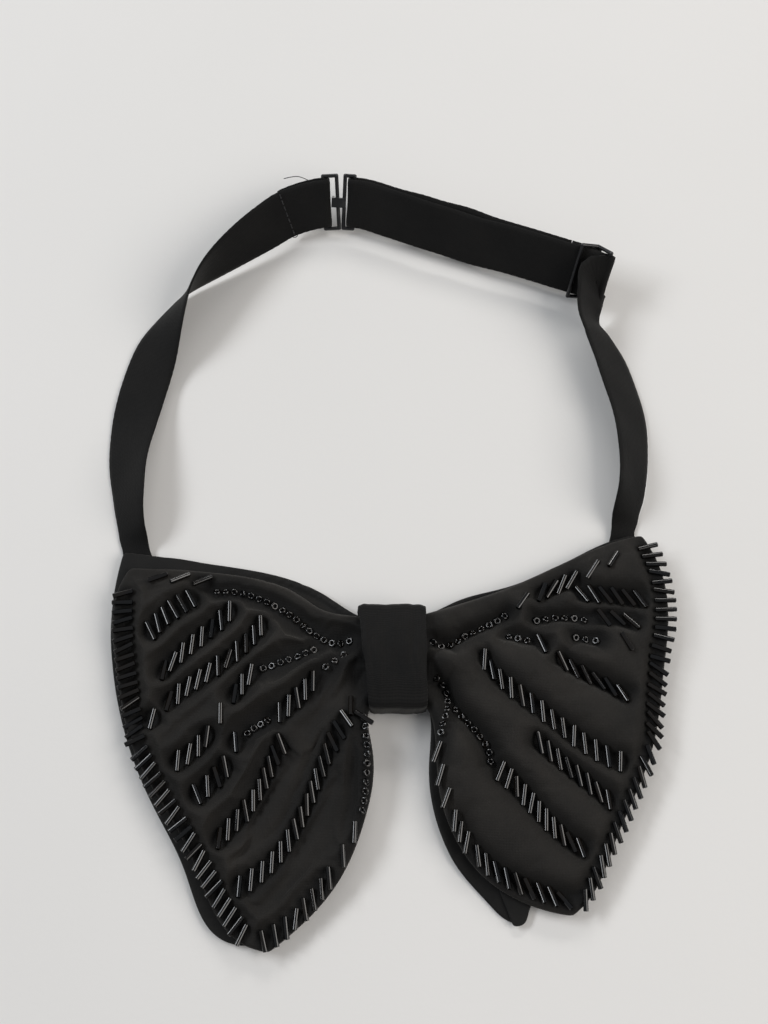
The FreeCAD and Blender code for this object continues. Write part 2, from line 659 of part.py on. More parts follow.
def slider(frame):
    """Two side bars over the band and a centre bar under it, joined by arched sides."""
    layer = LOOP_RADIUS + BAND_THICK / 2
    side_z = layer + BAND_THICK / 2 + 0.15 + WIRE_RADIUS
    centre_z = -layer + BAND_THICK / 2 + 0.05 + WIRE_RADIUS
    w = HARDWARE_HALF_WIDTH
    near = RUN_LENGTH - SLIDER_BAR_SPACING
    far = RUN_LENGTH + SLIDER_BAR_SPACING
    outline = wire_path([
        Vec(near, -w, side_z),
        Vec(RUN_LENGTH, -w, centre_z),
        Vec(far, -w, side_z),
        Vec(far, w, side_z),
        Vec(RUN_LENGTH, w, centre_z),
        Vec(near, w, side_z),
    ])
    bar = wire_path([Vec(RUN_LENGTH, -w, centre_z), Vec(RUN_LENGTH, w, centre_z)], False)
    save("slider", [placed(outline.fuse(bar).removeSplitter(), frame)])

    bend = bent_layer(RUN_LENGTH, centre_z, WIRE_RADIUS + 0.05)
    lower = centre_z - WIRE_RADIUS - 0.05 - BAND_THICK / 2
    upper = centre_z + WIRE_RADIUS + 0.05 + BAND_THICK / 2
    loop = bend.fuse([
        flat_layer(RUN_LENGTH - SLIDER_TAB, RUN_LENGTH, lower),
        flat_layer(RUN_LENGTH - SLIDER_TAB, RUN_LENGTH, upper),
    ]).removeSplitter()
    save("band_slider_loop", [placed(loop, frame)])
    gap = WIRE_RADIUS + 0.03
    x = RUN_LENGTH - SLIDER_TAB + 1.5
    save("band_slider_bar_tack", stitch_row(x, centre_z - gap, centre_z + gap, frame))
    return side_z


def right_band():
    """The doubled run from the hook to the slider, its turn round the slider, and the single run."""
    hook_frame = clasp_placement(HOOK_BAR, HOOK_DIRECTION)
    frame = clasp_placement(RUN_START, RUN_DIRECTION)
    layer = LOOP_RADIUS + BAND_THICK / 2
    hook(hook_frame)
    side_z = slider(frame)

    bar = station_at(hook_frame, 0, layer)
    straight = station_at(frame, RUN_STRAIGHT_FROM, layer)
    front = band_frames(
        [bar, straight],
        hook_frame.Rotation.multVec(Vec(1, 0, 0)),
        frame.Rotation.multVec(Vec(1, 0, 0)),
        1,
        1.0,
    )
    backwards = [(m, a, n, w) for m, a, n, w in front[::-1]]
    save("band_right_end", [folded_end(backwards, hook_frame, -1, 2 * layer)])

    far = RUN_LENGTH + SLIDER_BAR_SPACING
    return_z = side_z + (side_z - layer)
    through = flat_layer(RUN_STRAIGHT_FROM, far - 0.1, layer)
    save("band_right_through_run", [placed(through, frame)])
    turn = bent_layer(far, side_z, side_z - layer - BAND_THICK / 2)
    back = flat_layer(far - 1.5, far, return_z)
    save("band_slider_turn", [placed(turn.fuse(back).removeSplitter(), frame)])
    sewn = flat_layer(RUN_STRAIGHT_FROM, RUN_LENGTH - SLIDER_TAB - 0.2, -layer)
    save("band_right_sewn_run", [placed(sewn, frame)])

    last = station_at(frame, far - 1.7, return_z)
    last = (last[0], last[1], 180.0 - CLASP_LEAN, last[3], last[4])
    frames = band_frames(
        RIGHT_STATIONS + [last],
        Vec(0.2, 1, 0),
        frame.Rotation.multVec(Vec(1, 0, 0)),
        -1,
        FRAME_STEP,
    )
    save("band_right_single_run", [ribbon(frames)])
    tail("right", 67.9, 35.6, -10)


def main():
    os.makedirs("parts", exist_ok=True)
    back_wing("left", BACK_LEFT)
    back_wing("right", BACK_RIGHT)
    front_wing("left", FRONT_LEFT)
    front_wing("right", FRONT_RIGHT)
    beads("left", LEFT_EDGE_BUGLES, LEFT_VEIN_BUGLES, LEFT_EDGE_SEEDS, LEFT_VEIN_SEEDS)
    beads("right", RIGHT_EDGE_BUGLES, RIGHT_VEIN_BUGLES, RIGHT_EDGE_SEEDS, RIGHT_VEIN_SEEDS)
    knot()
    left_band()
    right_band()


main()
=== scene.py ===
import math
import random

import bmesh
import bpy
import numpy as np
from mathutils import Matrix, Vector
from mathutils.bvhtree import BVHTree
from mathutils.geometry import delaunay_2d_cdt


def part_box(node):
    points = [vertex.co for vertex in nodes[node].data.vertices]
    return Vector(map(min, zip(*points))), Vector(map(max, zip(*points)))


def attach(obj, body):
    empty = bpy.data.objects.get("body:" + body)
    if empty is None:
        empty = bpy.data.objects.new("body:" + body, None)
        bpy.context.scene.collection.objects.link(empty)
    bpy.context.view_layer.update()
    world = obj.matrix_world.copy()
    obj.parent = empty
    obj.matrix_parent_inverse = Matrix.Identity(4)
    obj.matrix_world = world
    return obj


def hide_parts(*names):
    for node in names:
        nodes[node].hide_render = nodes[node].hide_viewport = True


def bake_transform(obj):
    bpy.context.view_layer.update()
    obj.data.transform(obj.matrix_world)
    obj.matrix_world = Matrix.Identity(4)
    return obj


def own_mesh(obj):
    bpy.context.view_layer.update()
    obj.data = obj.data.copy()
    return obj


# A ready-tied, beaded butterfly bow tie, lying face up with its neckband open behind it.
# Metres, in the CAD frame: X along the bow, Y towards the clasp, Z up.

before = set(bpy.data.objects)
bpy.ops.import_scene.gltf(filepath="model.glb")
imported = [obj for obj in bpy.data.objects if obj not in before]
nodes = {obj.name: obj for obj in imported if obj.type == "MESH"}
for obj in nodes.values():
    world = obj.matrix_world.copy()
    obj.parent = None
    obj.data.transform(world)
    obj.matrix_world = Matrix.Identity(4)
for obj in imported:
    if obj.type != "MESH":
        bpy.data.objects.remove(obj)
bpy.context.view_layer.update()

MM = 0.001
SIDES = ("left", "right")

BAND_WIDTH = 15 * MM
BAND_THICK = 0.9 * MM

# The flat meshes that the wings start from, and the distance of their rows as a share of the pitch.
PLAN_PITCH = 1.15 * MM
ROW_SHARE = 0.866

# How far the cloth dips along the bead rows and rises between them, and the widest gap in a row.
VALLEY_DEPTH = 2.8 * MM
RIDGE_HEIGHT = 2.3 * MM
ROW_REACH = 5.6 * MM
LEAST_PAD = 0.9 * MM
MOST_SWELL = 3.5 * MM
BACK_FOLDS = 0.75 * MM

# The cloth simulation works on each face at this scale, over this many frames, and grows it by this share.
CLOTH_SCALE = 20.0
CLOTH_STEPS = 20
CLOTH_GROWTH = 0.015

BUGLE_LENGTH = 6.0 * MM
BUGLE_RADIUS = 0.72 * MM
BUGLE_BORE = 0.38 * MM
SEED_RADIUS = 1.10 * MM
SEED_WIRE = 0.34 * MM
BUGLE_RISE = 0.72 * MM
SEED_RISE = 0.45 * MM
SHARP_ANGLE = math.radians(35)

KNOT_ROWS = 150
KNOT_COLUMNS = 34
KNOT_SLANT = 3.4 * MM
KNOT_RADIUS = 11 * MM


# ---- small helpers ----
def smooth(low, high, value):
    """Goes from 0 at low to 1 at high with level ends."""
    t = np.clip((value - low) / (high - low), 0.0, 1.0)
    return t * t * (3.0 - 2.0 * t)


def in_scene(name, data):
    """A new object that shows a mesh, a curve, a light or a camera."""
    obj = bpy.data.objects.new(name, data)
    bpy.context.scene.collection.objects.link(obj)
    return obj


def make_object(name, vertices, faces, uv=None):
    """A mesh object from points and faces; uv gives each point's place along and across a band."""
    mesh = bpy.data.meshes.new(name)
    mesh.from_pydata([tuple(v) for v in vertices], [], [tuple(f) for f in faces])
    mesh.validate()
    bm = bmesh.new()
    bm.from_mesh(mesh)
    bmesh.ops.recalc_face_normals(bm, faces=bm.faces)
    bm.to_mesh(mesh)
    bm.free()
    mesh.shade_smooth()
    if uv is not None:
        layer = mesh.uv_layers.new(name="weave")
        for loop in mesh.loops:
            layer.data[loop.index].uv = uv[loop.vertex_index]
    return in_scene(name, mesh)


def subdivided(obj, levels):
    """Applies subdivision to a mesh object."""
    modifier = obj.modifiers.new("smooth", "SUBSURF")
    modifier.levels = levels
    modifier.render_levels = levels
    apply_modifiers(obj)


def apply_modifiers(obj):
    """Turns an object's modifiers into its mesh."""
    graph = bpy.context.evaluated_depsgraph_get()
    mesh = bpy.data.meshes.new_from_object(obj.evaluated_get(graph))
    obj.modifiers.clear()
    obj.data = mesh
    mesh.shade_smooth()


def surface_of(node):
    """A CAD node's surface, for casting rays at."""
    mesh = nodes[node].data
    return BVHTree.FromPolygons([v.co for v in mesh.vertices], [p.vertices for p in mesh.polygons])


def dropped(surface, x, y, start=0.1, direction=-1.0):
    """The height of the first surface met from above, or from below, or None."""
    hit = surface.ray_cast(Vector((x, y, start)), Vector((0, 0, direction)))[0]
    return None if hit is None else hit.z


# ---- materials ----
class Nodes:
    """A short way to write a material's node tree."""

    def __init__(self, name):
        self.material = bpy.data.materials.new(name)
        self.material.use_nodes = True
        self.tree = self.material.node_tree
        self.shader = self.tree.nodes["Principled BSDF"]

    def add(self, kind, settings=None, **inputs):
        node = self.tree.nodes.new(kind)
        for key, value in (settings or {}).items():
            setattr(node, key, value)
        for key, value in inputs.items():
            self.feed(node.inputs[key.replace("_", " ")], value)
        return node

    def feed(self, socket, value):
        if isinstance(value, bpy.types.NodeSocket):
            self.tree.links.new(value, socket)
        else:
            socket.default_value = value

    def set(self, **inputs):
        for key, value in inputs.items():
            self.feed(self.shader.inputs[key.replace("_", " ")], value)

    def mix(self, share, a, b):
        node = self.add("ShaderNodeMix", {"data_type": "RGBA"})
        self.feed(node.inputs["Factor"], share)
        self.feed(node.inputs[6], a)
        self.feed(node.inputs[7], b)
        return node.outputs[2]

    def math(self, operation, a, b):
        node = self.add("ShaderNodeMath", {"operation": operation})
        self.feed(node.inputs[0], a)
        self.feed(node.inputs[1], b)
        return node.outputs[0]

    def ramp(self, value, low, high):
        node = self.add("ShaderNodeMapRange")
        self.feed(node.inputs["Value"], value)
        node.inputs["From Min"].default_value = low
        node.inputs["From Max"].default_value = high
        return node.outputs["Result"]

    def place(self, scale):
        """Object coordinates, with each axis scaled."""
        coordinates = self.add("ShaderNodeTexCoord").outputs["Object"]
        return self.add("ShaderNodeMapping", Vector=coordinates, Scale=scale).outputs["Vector"]

    def noise(self, vector, scale, detail, rough):
        inputs = {"Vector": vector, "Scale": scale, "Detail": detail, "Roughness": rough}
        return self.add("ShaderNodeTexNoise", **inputs).outputs["Fac"]

    def wave(self, vector, scale, direction, distortion):
        settings = {"wave_type": "BANDS", "bands_direction": direction}
        node = self.add("ShaderNodeTexWave", settings, Vector=vector, Scale=scale, Distortion=distortion)
        return node.outputs["Fac"]

    def bump(self, height, distance, strength=1.0, normal=None):
        node = self.add("ShaderNodeBump", Height=height, Distance=distance, Strength=strength)
        if normal is not None:
            self.feed(node.inputs["Normal"], normal)
        return node.outputs["Normal"]


def bands_at(pitch):
    """The wave texture's scale that puts its bands a pitch apart."""
    return 2 * math.pi / (20 * pitch)


def woven_cloth(name, dark, light, thread, roughness, sheen, weave_depth, painted_ridge_light=None):
    """Black cloth with a plain weave and slubs.
    Its colour wanders, and can be paler away from the beads: painted light on the ridges between the bead
    rows, painted shade in the valleys along them."""
    m = Nodes(name)
    spot = m.place((1, 1, 1))
    warp = m.wave(spot, bands_at(thread), "X", 0.6)
    weft = m.wave(spot, bands_at(thread), "Y", 0.6)
    weave = m.math("MULTIPLY", warp, weft)
    slub = m.noise(spot, 900.0, 4.0, 0.6)
    patches = m.noise(spot, 55.0, 4.0, 0.55)
    colour = m.mix(m.ramp(patches, 0.35, 0.7), dark, light)
    # Painted shade and light: where the mesh carries the attribute, the colour runs from black in the valleys
    # along the bead rows to a paler colour on the ridges between them.
    if painted_ridge_light is not None:
        share = m.add("ShaderNodeAttribute", {"attribute_name": "painted_ridge_light"}).outputs["Fac"]
        pale = m.mix(m.ramp(patches, 0.3, 0.7), light, painted_ridge_light)
        colour = m.mix(share, dark, pale)
    rough = m.math("ADD", m.math("MULTIPLY", slub, 0.14), roughness - 0.07)
    grain = m.bump(weave, weave_depth)
    m.set(Base_Color=colour, Roughness=rough, Normal=m.bump(slub, weave_depth * 1.4, 0.7, grain))
    m.set(Sheen_Weight=sheen, Sheen_Roughness=0.45, Sheen_Tint=(0.9, 0.86, 0.8, 1), Specular_IOR_Level=0.2)
    return m.material


def ribbed_band(name, across_pitch, dark, light, sheen):
    """Woven elastic band: fine ribs across it, lengthwise cords, and a firmer edge."""
    m = Nodes(name)
    uv = m.add("ShaderNodeUVMap", {"uv_map": "weave"}).outputs["UV"]
    ribs = m.wave(uv, bands_at(across_pitch), "Y", 0.4)
    cords = m.wave(uv, bands_at(across_pitch * 1.6), "X", 0.2)
    fuzz = m.noise(m.place((1, 1, 1)), 1400.0, 3.0, 0.7)
    worn = m.noise(m.place((1, 1, 1)), 70.0, 4.0, 0.6)
    height = m.math("ADD", m.math("MULTIPLY", ribs, 0.7), m.math("MULTIPLY", cords, 0.3))
    colour = m.mix(m.ramp(worn, 0.35, 0.75), dark, light)
    shaded = m.mix(m.ramp(height, 0.1, 0.9), dark, colour)
    rough = m.math("ADD", m.math("MULTIPLY", fuzz, 0.2), 0.68)
    grain = m.bump(height, 0.06 * MM)
    m.set(Base_Color=shaded, Roughness=rough, Normal=m.bump(fuzz, 0.10 * MM, 0.6, grain))
    m.set(Sheen_Weight=sheen, Sheen_Roughness=0.4, Sheen_Tint=(0.9, 0.88, 0.85, 1), Specular_IOR_Level=0.2)
    return m.material


def black_glass():
    """Cut black glass, a little uneven, with faint brown and blue casts from bead to bead."""
    m = Nodes("black_glass")
    cast = m.noise(m.place((1, 1, 1)), 130.0, 1.0, 0.4)
    film = m.noise(m.place((1, 1, 1)), 700.0, 3.0, 0.6)
    colour = m.mix(m.ramp(cast, 0.40, 0.60), (0.0008, 0.0010, 0.0015, 1), (0.0036, 0.0022, 0.0012, 1))
    rough = m.math("ADD", m.math("MULTIPLY", film, 0.05), 0.02)
    m.set(Base_Color=colour, Roughness=rough, Normal=m.bump(film, 0.01 * MM, 0.2))
    m.set(IOR=1.55, Specular_IOR_Level=0.62)
    return m.material


def black_enamel():
    """Black coated wire with small pits and slightly worn gloss."""
    m = Nodes("black_enamel")
    pits = m.noise(m.place((1, 1, 1)), 1100.0, 4.0, 0.6)
    wear = m.noise(m.place((1, 1, 1)), 240.0, 3.0, 0.5)
    colour = m.mix(m.ramp(wear, 0.55, 0.8), (0.012, 0.012, 0.013, 1), (0.045, 0.043, 0.042, 1))
    rough = m.math("ADD", m.math("MULTIPLY", wear, 0.25), 0.20)
    m.set(Base_Color=colour, Roughness=rough, Normal=m.bump(pits, 0.03 * MM, 0.6))
    m.set(Metallic=0.35, Coat_Weight=0.5, Coat_Roughness=0.15)
    return m.material


def twisted_thread():
    """Black sewing thread with its twist."""
    m = Nodes("sewing_thread")
    twist = m.wave(m.place((1, 1, 1)), 420.0, "DIAGONAL", 0.5)
    fuzz = m.noise(m.place((1, 1, 1)), 2500.0, 2.0, 0.6)
    colour = m.mix(twist, (0.006, 0.006, 0.007, 1), (0.022, 0.022, 0.024, 1))
    m.set(Base_Color=colour, Roughness=m.math("ADD", m.math("MULTIPLY", fuzz, 0.2), 0.5))
    m.set(Normal=m.bump(twist, 0.05 * MM), Sheen_Weight=0.3, Sheen_Roughness=0.4)
    return m.material


def pale_floor():
    """Smooth off-white card."""
    m = Nodes("pale_card")
    cloud = m.noise(m.place((1, 1, 1)), 5.0, 3.0, 0.5)
    grain = m.noise(m.place((1, 1, 1)), 420.0, 4.0, 0.6)
    colour = m.mix(cloud, (0.70, 0.69, 0.675, 1), (0.77, 0.755, 0.74, 1))
    m.set(Base_Color=colour, Roughness=0.62, Normal=m.bump(grain, 0.12 * MM, 0.35))
    m.set(Specular_IOR_Level=0.25)
    return m.material


BLACK = (0.0030, 0.0029, 0.0029, 1)
SOFT_BLACK = (0.0080, 0.0074, 0.0068, 1)
KNOT_BLACK = (0.0095, 0.0085, 0.0078, 1)
# Painted light: the paler colour of the crepe's ridges between the bead rows.
PAINTED_LIGHT_BLACK = (0.0185, 0.0165, 0.0145, 1)
CREPE = woven_cloth(
    "beaded_crepe", BLACK, SOFT_BLACK, thread=0.40 * MM, roughness=0.74, sheen=0.10,
    weave_depth=0.07 * MM, painted_ridge_light=PAINTED_LIGHT_BLACK)
SATIN = woven_cloth(
    "plain_satin", BLACK, SOFT_BLACK, thread=0.30 * MM, roughness=0.62, sheen=0.12,
    weave_depth=0.04 * MM)
ELASTIC = ribbed_band("ribbed_elastic", 0.42 * MM, BLACK, SOFT_BLACK, sheen=0.08)
KNOT_SATIN = ribbed_band("knot_faille", 0.52 * MM, BLACK, KNOT_BLACK, sheen=0.12)
GLASS = black_glass()
ENAMEL = black_enamel()
THREAD = twisted_thread()


# ---- wings ----
def outline_of(node):
    """A cloth layer's outline in plan, read from its CAD solid."""
    bm = bmesh.new()
    bm.from_mesh(nodes[node].data)
    bmesh.ops.remove_doubles(bm, verts=bm.verts, dist=2e-6)
    bm.normal_update()
    following = {}
    for edge in bm.edges:
        up = [face for face in edge.link_faces if face.normal.z > 0.6]
        if len(up) == 1 and len(edge.link_faces) == 2:
            a, b = edge.verts
            following.setdefault(a.index, []).append(b.index)
            following.setdefault(b.index, []).append(a.index)
    bm.verts.ensure_lookup_table()
    points = {v.index: v.co.copy() for v in bm.verts}
    bm.free()
    best = []
    unseen = set(following)
    while unseen:
        start = min(unseen)
        loop = [start]
        unseen.discard(start)
        while True:
            onward = [k for k in following[loop[-1]] if k in unseen]
            if not onward:
                break
            loop.append(onward[0])
            unseen.discard(onward[0])
        if len(loop) > len(best):
            best = loop
    return np.array([points[k][:2] for k in best])


def evenly(loop, pitch):
    """The same closed outline with points a pitch apart."""
    closed = np.vstack([loop, loop[:1]])
    steps = np.hypot(*(closed[1:] - closed[:-1]).T)
    run = np.concatenate([[0], np.cumsum(steps)])
    count = int(run[-1] / pitch)
    spots = np.arange(count) * run[-1] / count
    return np.column_stack([np.interp(spots, run, closed[:, k]) for k in (0, 1)])


def inside(loop, points):
    """Which points lie inside a closed outline."""
    result = np.zeros(len(points), bool)
    x, y = points.T
    for (ax, ay), (bx, by) in zip(loop, np.roll(loop, -1, axis=0)):
        crosses = (ay > y) != (by > y)
        with np.errstate(divide="ignore", invalid="ignore"):
            reach = ax + (y - ay) * (bx - ax) / (by - ay)
        result ^= crosses & (x < reach)
    return result


def distance_to(segments, points):
    """Each point's plan distance to the nearest of some segments."""
    best = np.full(len(points), 1.0)
    for a, b in segments:
        a, b = np.array(a[:2]), np.array(b[:2])
        run = b - a
        t = np.clip(((points - a) @ run) / max(run @ run, 1e-12), 0, 1)
        best = np.minimum(best, np.hypot(*(points - a - t[:, None] * run).T))
    return best


def rim_segments(plan, rim_count):
    """The outline's own edges, from the points that come first in a plan mesh."""
    return [(plan[k], plan[(k + 1) % rim_count]) for k in range(rim_count)]


def plan_mesh(loop, pitch):
    """An even triangle mesh of a plan outline; the outline's own points come first."""
    rim = evenly(loop, pitch)
    low, high = rim.min(0), rim.max(0)
    rows = int((high[1] - low[1]) / (pitch * ROW_SHARE)) + 1
    columns = int((high[0] - low[0]) / pitch) + 2
    grid = [
        (low[0] + pitch * (i + 0.5 * (j % 2)), low[1] + pitch * ROW_SHARE * j)
        for j in range(rows)
        for i in range(columns)
    ]
    grid = np.array(grid)
    grid = grid[inside(rim, grid)]
    edges = [(k, (k + 1) % len(rim)) for k in range(len(rim))]
    grid = grid[distance_to(rim_segments(rim, len(rim)), grid) > pitch * 0.55]
    points = [Vector(p) for p in np.vstack([rim, grid])]
    filled = delaunay_2d_cdt(points, edges, [], 1, 1e-7)
    plan = np.array([tuple(v) for v in filled[0]])
    return plan, [tuple(f) for f in filled[2]], len(rim)


def heights(surface, plan, centre, direction, fallback):
    """A CAD surface's height at each plan point. A point just past its edge takes it from further in."""
    found = []
    for x, y in plan:
        z = None
        for pull in (0.0, 0.01, 0.03, 0.06, 0.1):
            px = x + (centre[0] - x) * pull
            py = y + (centre[1] - y) * pull
            z = dropped(surface, px, py, 0.1 * -direction, direction)
            if z is not None:
                break
        found.append(fallback if z is None else z)
    return np.array(found)


def bead_segments(*names):
    """Each bead's two ends, read from the CAD bead nodes."""
    segments = []
    for name in names:
        bm = bmesh.new()
        bm.from_mesh(nodes[name].data)
        bmesh.ops.remove_doubles(bm, verts=bm.verts, dist=1e-6)
        bm.verts.index_update()
        unseen = {vertex.index: vertex for vertex in bm.verts}
        found = []
        while unseen:
            heap = [unseen.pop(min(unseen))]
            island = []
            while heap:
                vertex = heap.pop()
                island.append(vertex.co[:])
                for edge in vertex.link_edges:
                    other = edge.other_vert(vertex)
                    if other.index in unseen:
                        heap.append(unseen.pop(other.index))
            points = np.array(island)
            centre = (points.max(0) + points.min(0)) / 2
            axis = np.linalg.svd(points - points.mean(0), full_matrices=False)[2][0]
            reach = np.abs((points - centre) @ axis).max()
            found.append((centre - axis * reach, centre + axis * reach))
        bm.free()
        segments += sorted(found, key=lambda s: (round(s[0][0], 5), round(s[0][1], 5)))
    return segments


def rounded_rim(top, bottom, plan, rim_count):
    """Points of a soft edge between a cloth's top and underside: one ring pushed outwards."""
    rim = plan[:rim_count]
    onward = np.roll(rim, -1, axis=0) - np.roll(rim, 1, axis=0)
    outward = np.column_stack([onward[:, 1], -onward[:, 0]])
    outward /= np.maximum(np.hypot(*outward.T)[:, None], 1e-9)
    centre = rim.mean(0)
    if np.sum(outward * (rim - centre)) < 0:
        outward = -outward
    thick = (top[:rim_count] - bottom[:rim_count])[:, None]
    middle = (top[:rim_count] + bottom[:rim_count]) / 2
    spread = rim + outward * thick * 0.35
    return np.column_stack([spread, middle])


def closed_cloth(name, plan, faces, rim_count, top, bottom):
    """A closed padded cloth from one plan mesh, its top heights and its underside heights."""
    upper = top if top.ndim == 2 else np.column_stack([plan, top])
    lower = np.column_stack([plan, bottom])
    ring = rounded_rim(upper[:, 2], bottom, plan, rim_count)
    count = len(plan)
    skin = list(faces) + [tuple(count + k for k in reversed(f)) for f in faces]
    for a in range(rim_count):
        b = (a + 1) % rim_count
        skin.append((a, b, 2 * count + b, 2 * count + a))
        skin.append((2 * count + a, 2 * count + b, count + b, count + a))
    return make_object(name, np.vstack([upper, lower, ring]), skin)


def puffed(plan, faces, top, held):
    """Cloth simulation of one padded face: it swells where it isn't held down by stitches."""
    vertices = np.column_stack([plan, top]) * CLOTH_SCALE
    obj = make_object("simulated_face", vertices, faces)
    group = obj.vertex_groups.new(name="held")
    for k, weight in enumerate(held):
        if weight > 0:
            group.add([k], float(weight), "REPLACE")
    cloth = obj.modifiers.new("cloth", "CLOTH")
    settings = cloth.settings
    settings.quality = 6
    settings.mass = 0.01
    settings.tension_stiffness = 12
    settings.compression_stiffness = 12
    settings.shear_stiffness = 6
    settings.bending_stiffness = 3.0
    settings.vertex_group_mass = "held"
    settings.pin_stiffness = 1.0
    settings.use_pressure = True
    settings.uniform_pressure_force = 16
    settings.shrink_min = -CLOTH_GROWTH
    settings.effector_weights.gravity = 0.0
    scene = bpy.context.scene
    cloth.point_cache.frame_start = 1
    cloth.point_cache.frame_end = CLOTH_STEPS
    for step in range(1, CLOTH_STEPS + 1):
        scene.frame_set(step)
    graph = bpy.context.evaluated_depsgraph_get()
    mesh = obj.evaluated_get(graph).to_mesh()
    result = np.array([v.co for v in mesh.vertices]) / CLOTH_SCALE
    bpy.data.objects.remove(obj)
    scene.frame_set(1)
    return result


def gathers(x, y):
    """The folds that fan out from the knot and die away along the wing."""
    r = np.hypot(x, y + 2 * MM)
    turn = np.arctan2(y + 2 * MM, np.abs(x))
    fade = smooth(6 * MM, 13 * MM, r) * np.exp(-((r - 12 * MM) / (21 * MM)) ** 2)
    return fade * (1.9 * np.cos((turn + 0.12) * 6.2) + 0.22 * np.sin(turn * 17 + r * 150)) * MM


def links(segments, reach):
    """Lines between the middles of neighbouring beads, which together draw the rows they stand in."""
    middles = [(np.array(a) + np.array(b)) / 2 for a, b in segments]
    found = []
    for i, a in enumerate(middles):
        found += [(a, b) for b in middles[i + 1:] if np.hypot(*(a - b)[:2]) < reach]
    return found


def drawn_face(side, plan, rim_count, top, bottom):
    """The face before it swells: valleys along the bead rows, ridges between them, gathers at the knot.
    Also says how firmly each point is held, and how far it is from the rows."""
    x, y = plan.T
    bugles = bead_segments("vein_bugles_" + side, "edge_bugles_" + side)
    seeds = bead_segments("vein_seed_beads_" + side, "edge_seed_beads_" + side)
    near = np.minimum(distance_to(bugles, plan), distance_to(seeds, plan))
    away = distance_to(links(bugles + seeds, ROW_REACH), plan)
    edge = distance_to(rim_segments(plan, rim_count), plan)
    valley = VALLEY_DEPTH * np.exp(-(away / (2.6 * MM)) ** 2)
    ridge = RIDGE_HEIGHT * smooth(1.5 * MM, 6 * MM, away)
    inward = smooth(0, 7 * MM, edge) * smooth(9 * MM, 15 * MM, np.abs(x))
    top = top + inward * (ridge - valley) + smooth(0, 4 * MM, edge) * gathers(x, y)
    top = np.maximum(top, bottom + LEAST_PAD)
    at_bead = near < 0.9 * MM
    at_hem = edge < 0.6 * MM
    in_knot = np.abs(x) < 8 * MM
    return top, np.where(at_bead | at_hem | in_knot, 1.0, 0.0), away


def front_pad(side):
    """The front wing: a padded face that swells between its rows of beads.
    Returns that face's surface, for the beads to lie on."""
    parts = ["front_face_" + side, "front_wadding_" + side, "front_lining_" + side]
    plan, faces, rim_count = plan_mesh(outline_of(parts[0]), PLAN_PITCH)
    centre = plan.mean(0)
    top = heights(surface_of(parts[0]), plan, centre, -1.0, 4 * MM)
    bottom = heights(surface_of(parts[2]), plan, centre, 1.0, 2 * MM)
    top, held, away = drawn_face(side, plan, rim_count, top, bottom)
    drawn = np.column_stack([plan, top])
    shaped = drawn
    move = puffed(plan, faces, top, held) - drawn
    length = np.linalg.norm(move, axis=1, keepdims=True)
    shaped = drawn + move * np.minimum(1, MOST_SWELL / np.maximum(length, 1e-9))
    pad = closed_cloth("front_wing_" + side, plan, faces, rim_count, shaped, bottom)
    # Painted shade and light: 0 in the valleys along the bead rows, 1 on the ridges between them, fading out
    # near the knot.
    shade = smooth(0.8 * MM, 5.5 * MM, away) * smooth(7 * MM, 16 * MM, np.abs(plan[:, 0]))
    painted_ridge_light = pad.data.attributes.new("painted_ridge_light", "FLOAT", "POINT")
    painted_ridge_light.data.foreach_set("value", np.concatenate([shade, shade, shade[:rim_count]]))
    subdivided(pad, 1)
    pad.data.materials.append(CREPE)
    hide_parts(*parts)
    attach(pad, "bow")
    return BVHTree.FromPolygons([tuple(p) for p in shaped], faces)


def back_layer(name, parts, folds):
    """A plain cloth layer behind the front wing, with soft folds along its top edge near the knot."""
    plan, faces, rim_count = plan_mesh(outline_of(parts[-1]), PLAN_PITCH)
    centre = plan.mean(0)
    x, y = plan.T
    edge = distance_to(rim_segments(plan, rim_count), plan)
    top = heights(surface_of(parts[-1]), plan, centre, -1.0, 3 * MM)
    bottom = heights(surface_of(parts[0]), plan, centre, 1.0, 1 * MM)
    reach = np.exp(-((np.abs(x) - 24 * MM) / (22 * MM)) ** 2) * smooth(-6 * MM, 4 * MM, y)
    top = top + folds * reach * smooth(0, 1.5 * MM, edge) * np.sin(edge / MM * 1.75 + np.abs(x) * 22)
    layer = closed_cloth(name, plan, faces, rim_count, top, bottom)
    subdivided(layer, 1)
    layer.data.materials.append(SATIN)
    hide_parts(*parts)
    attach(layer, "bow")


# ---- beads ----
def tube_rings(length, radius, bore, facets):
    """A short cut tube with slightly rounded ends, along X."""
    lip = 0.12 * MM
    half = length / 2
    profile = [
        (-half + lip, radius), (half - lip, radius), (half, radius - lip),
        (half, bore), (-half, bore), (-half, radius - lip),
    ]
    return revolved(profile, facets)


def ring_bead(radius, wire, facets, sides):
    """A small round bead with a hole."""
    profile = []
    for k in range(sides):
        a = 2 * math.pi * k / sides
        profile.append((wire * math.sin(a), radius - wire + wire * math.cos(a)))
    return revolved(profile, facets)


def revolved(profile, facets):
    """Turns a closed profile round the X axis."""
    points, faces = [], []
    count = len(profile)
    for i in range(facets):
        a = 2 * math.pi * i / facets
        for along, r in profile:
            points.append((along, r * math.cos(a), r * math.sin(a)))
        for k in range(count):
            n = (k + 1) % count
            j = (i + 1) % facets
            faces.append((i * count + k, i * count + n, j * count + n, j * count + k))
    return np.array(points), faces


def laid(points, middle, along):
    """A shape's points, with its X axis turned along a direction and its middle put in place."""
    side = along.cross(Vector((0, 0, 1))).normalized()
    basis = np.array([along, side, along.cross(side)])
    return points @ basis + np.array(middle)


def add_copy(vertices, skin, placed, faces):
    """Adds one placed copy of a shape to a growing mesh."""
    start = len(vertices)
    vertices += [tuple(p) for p in placed]
    skin += [tuple(start + k for k in f) for f in faces]


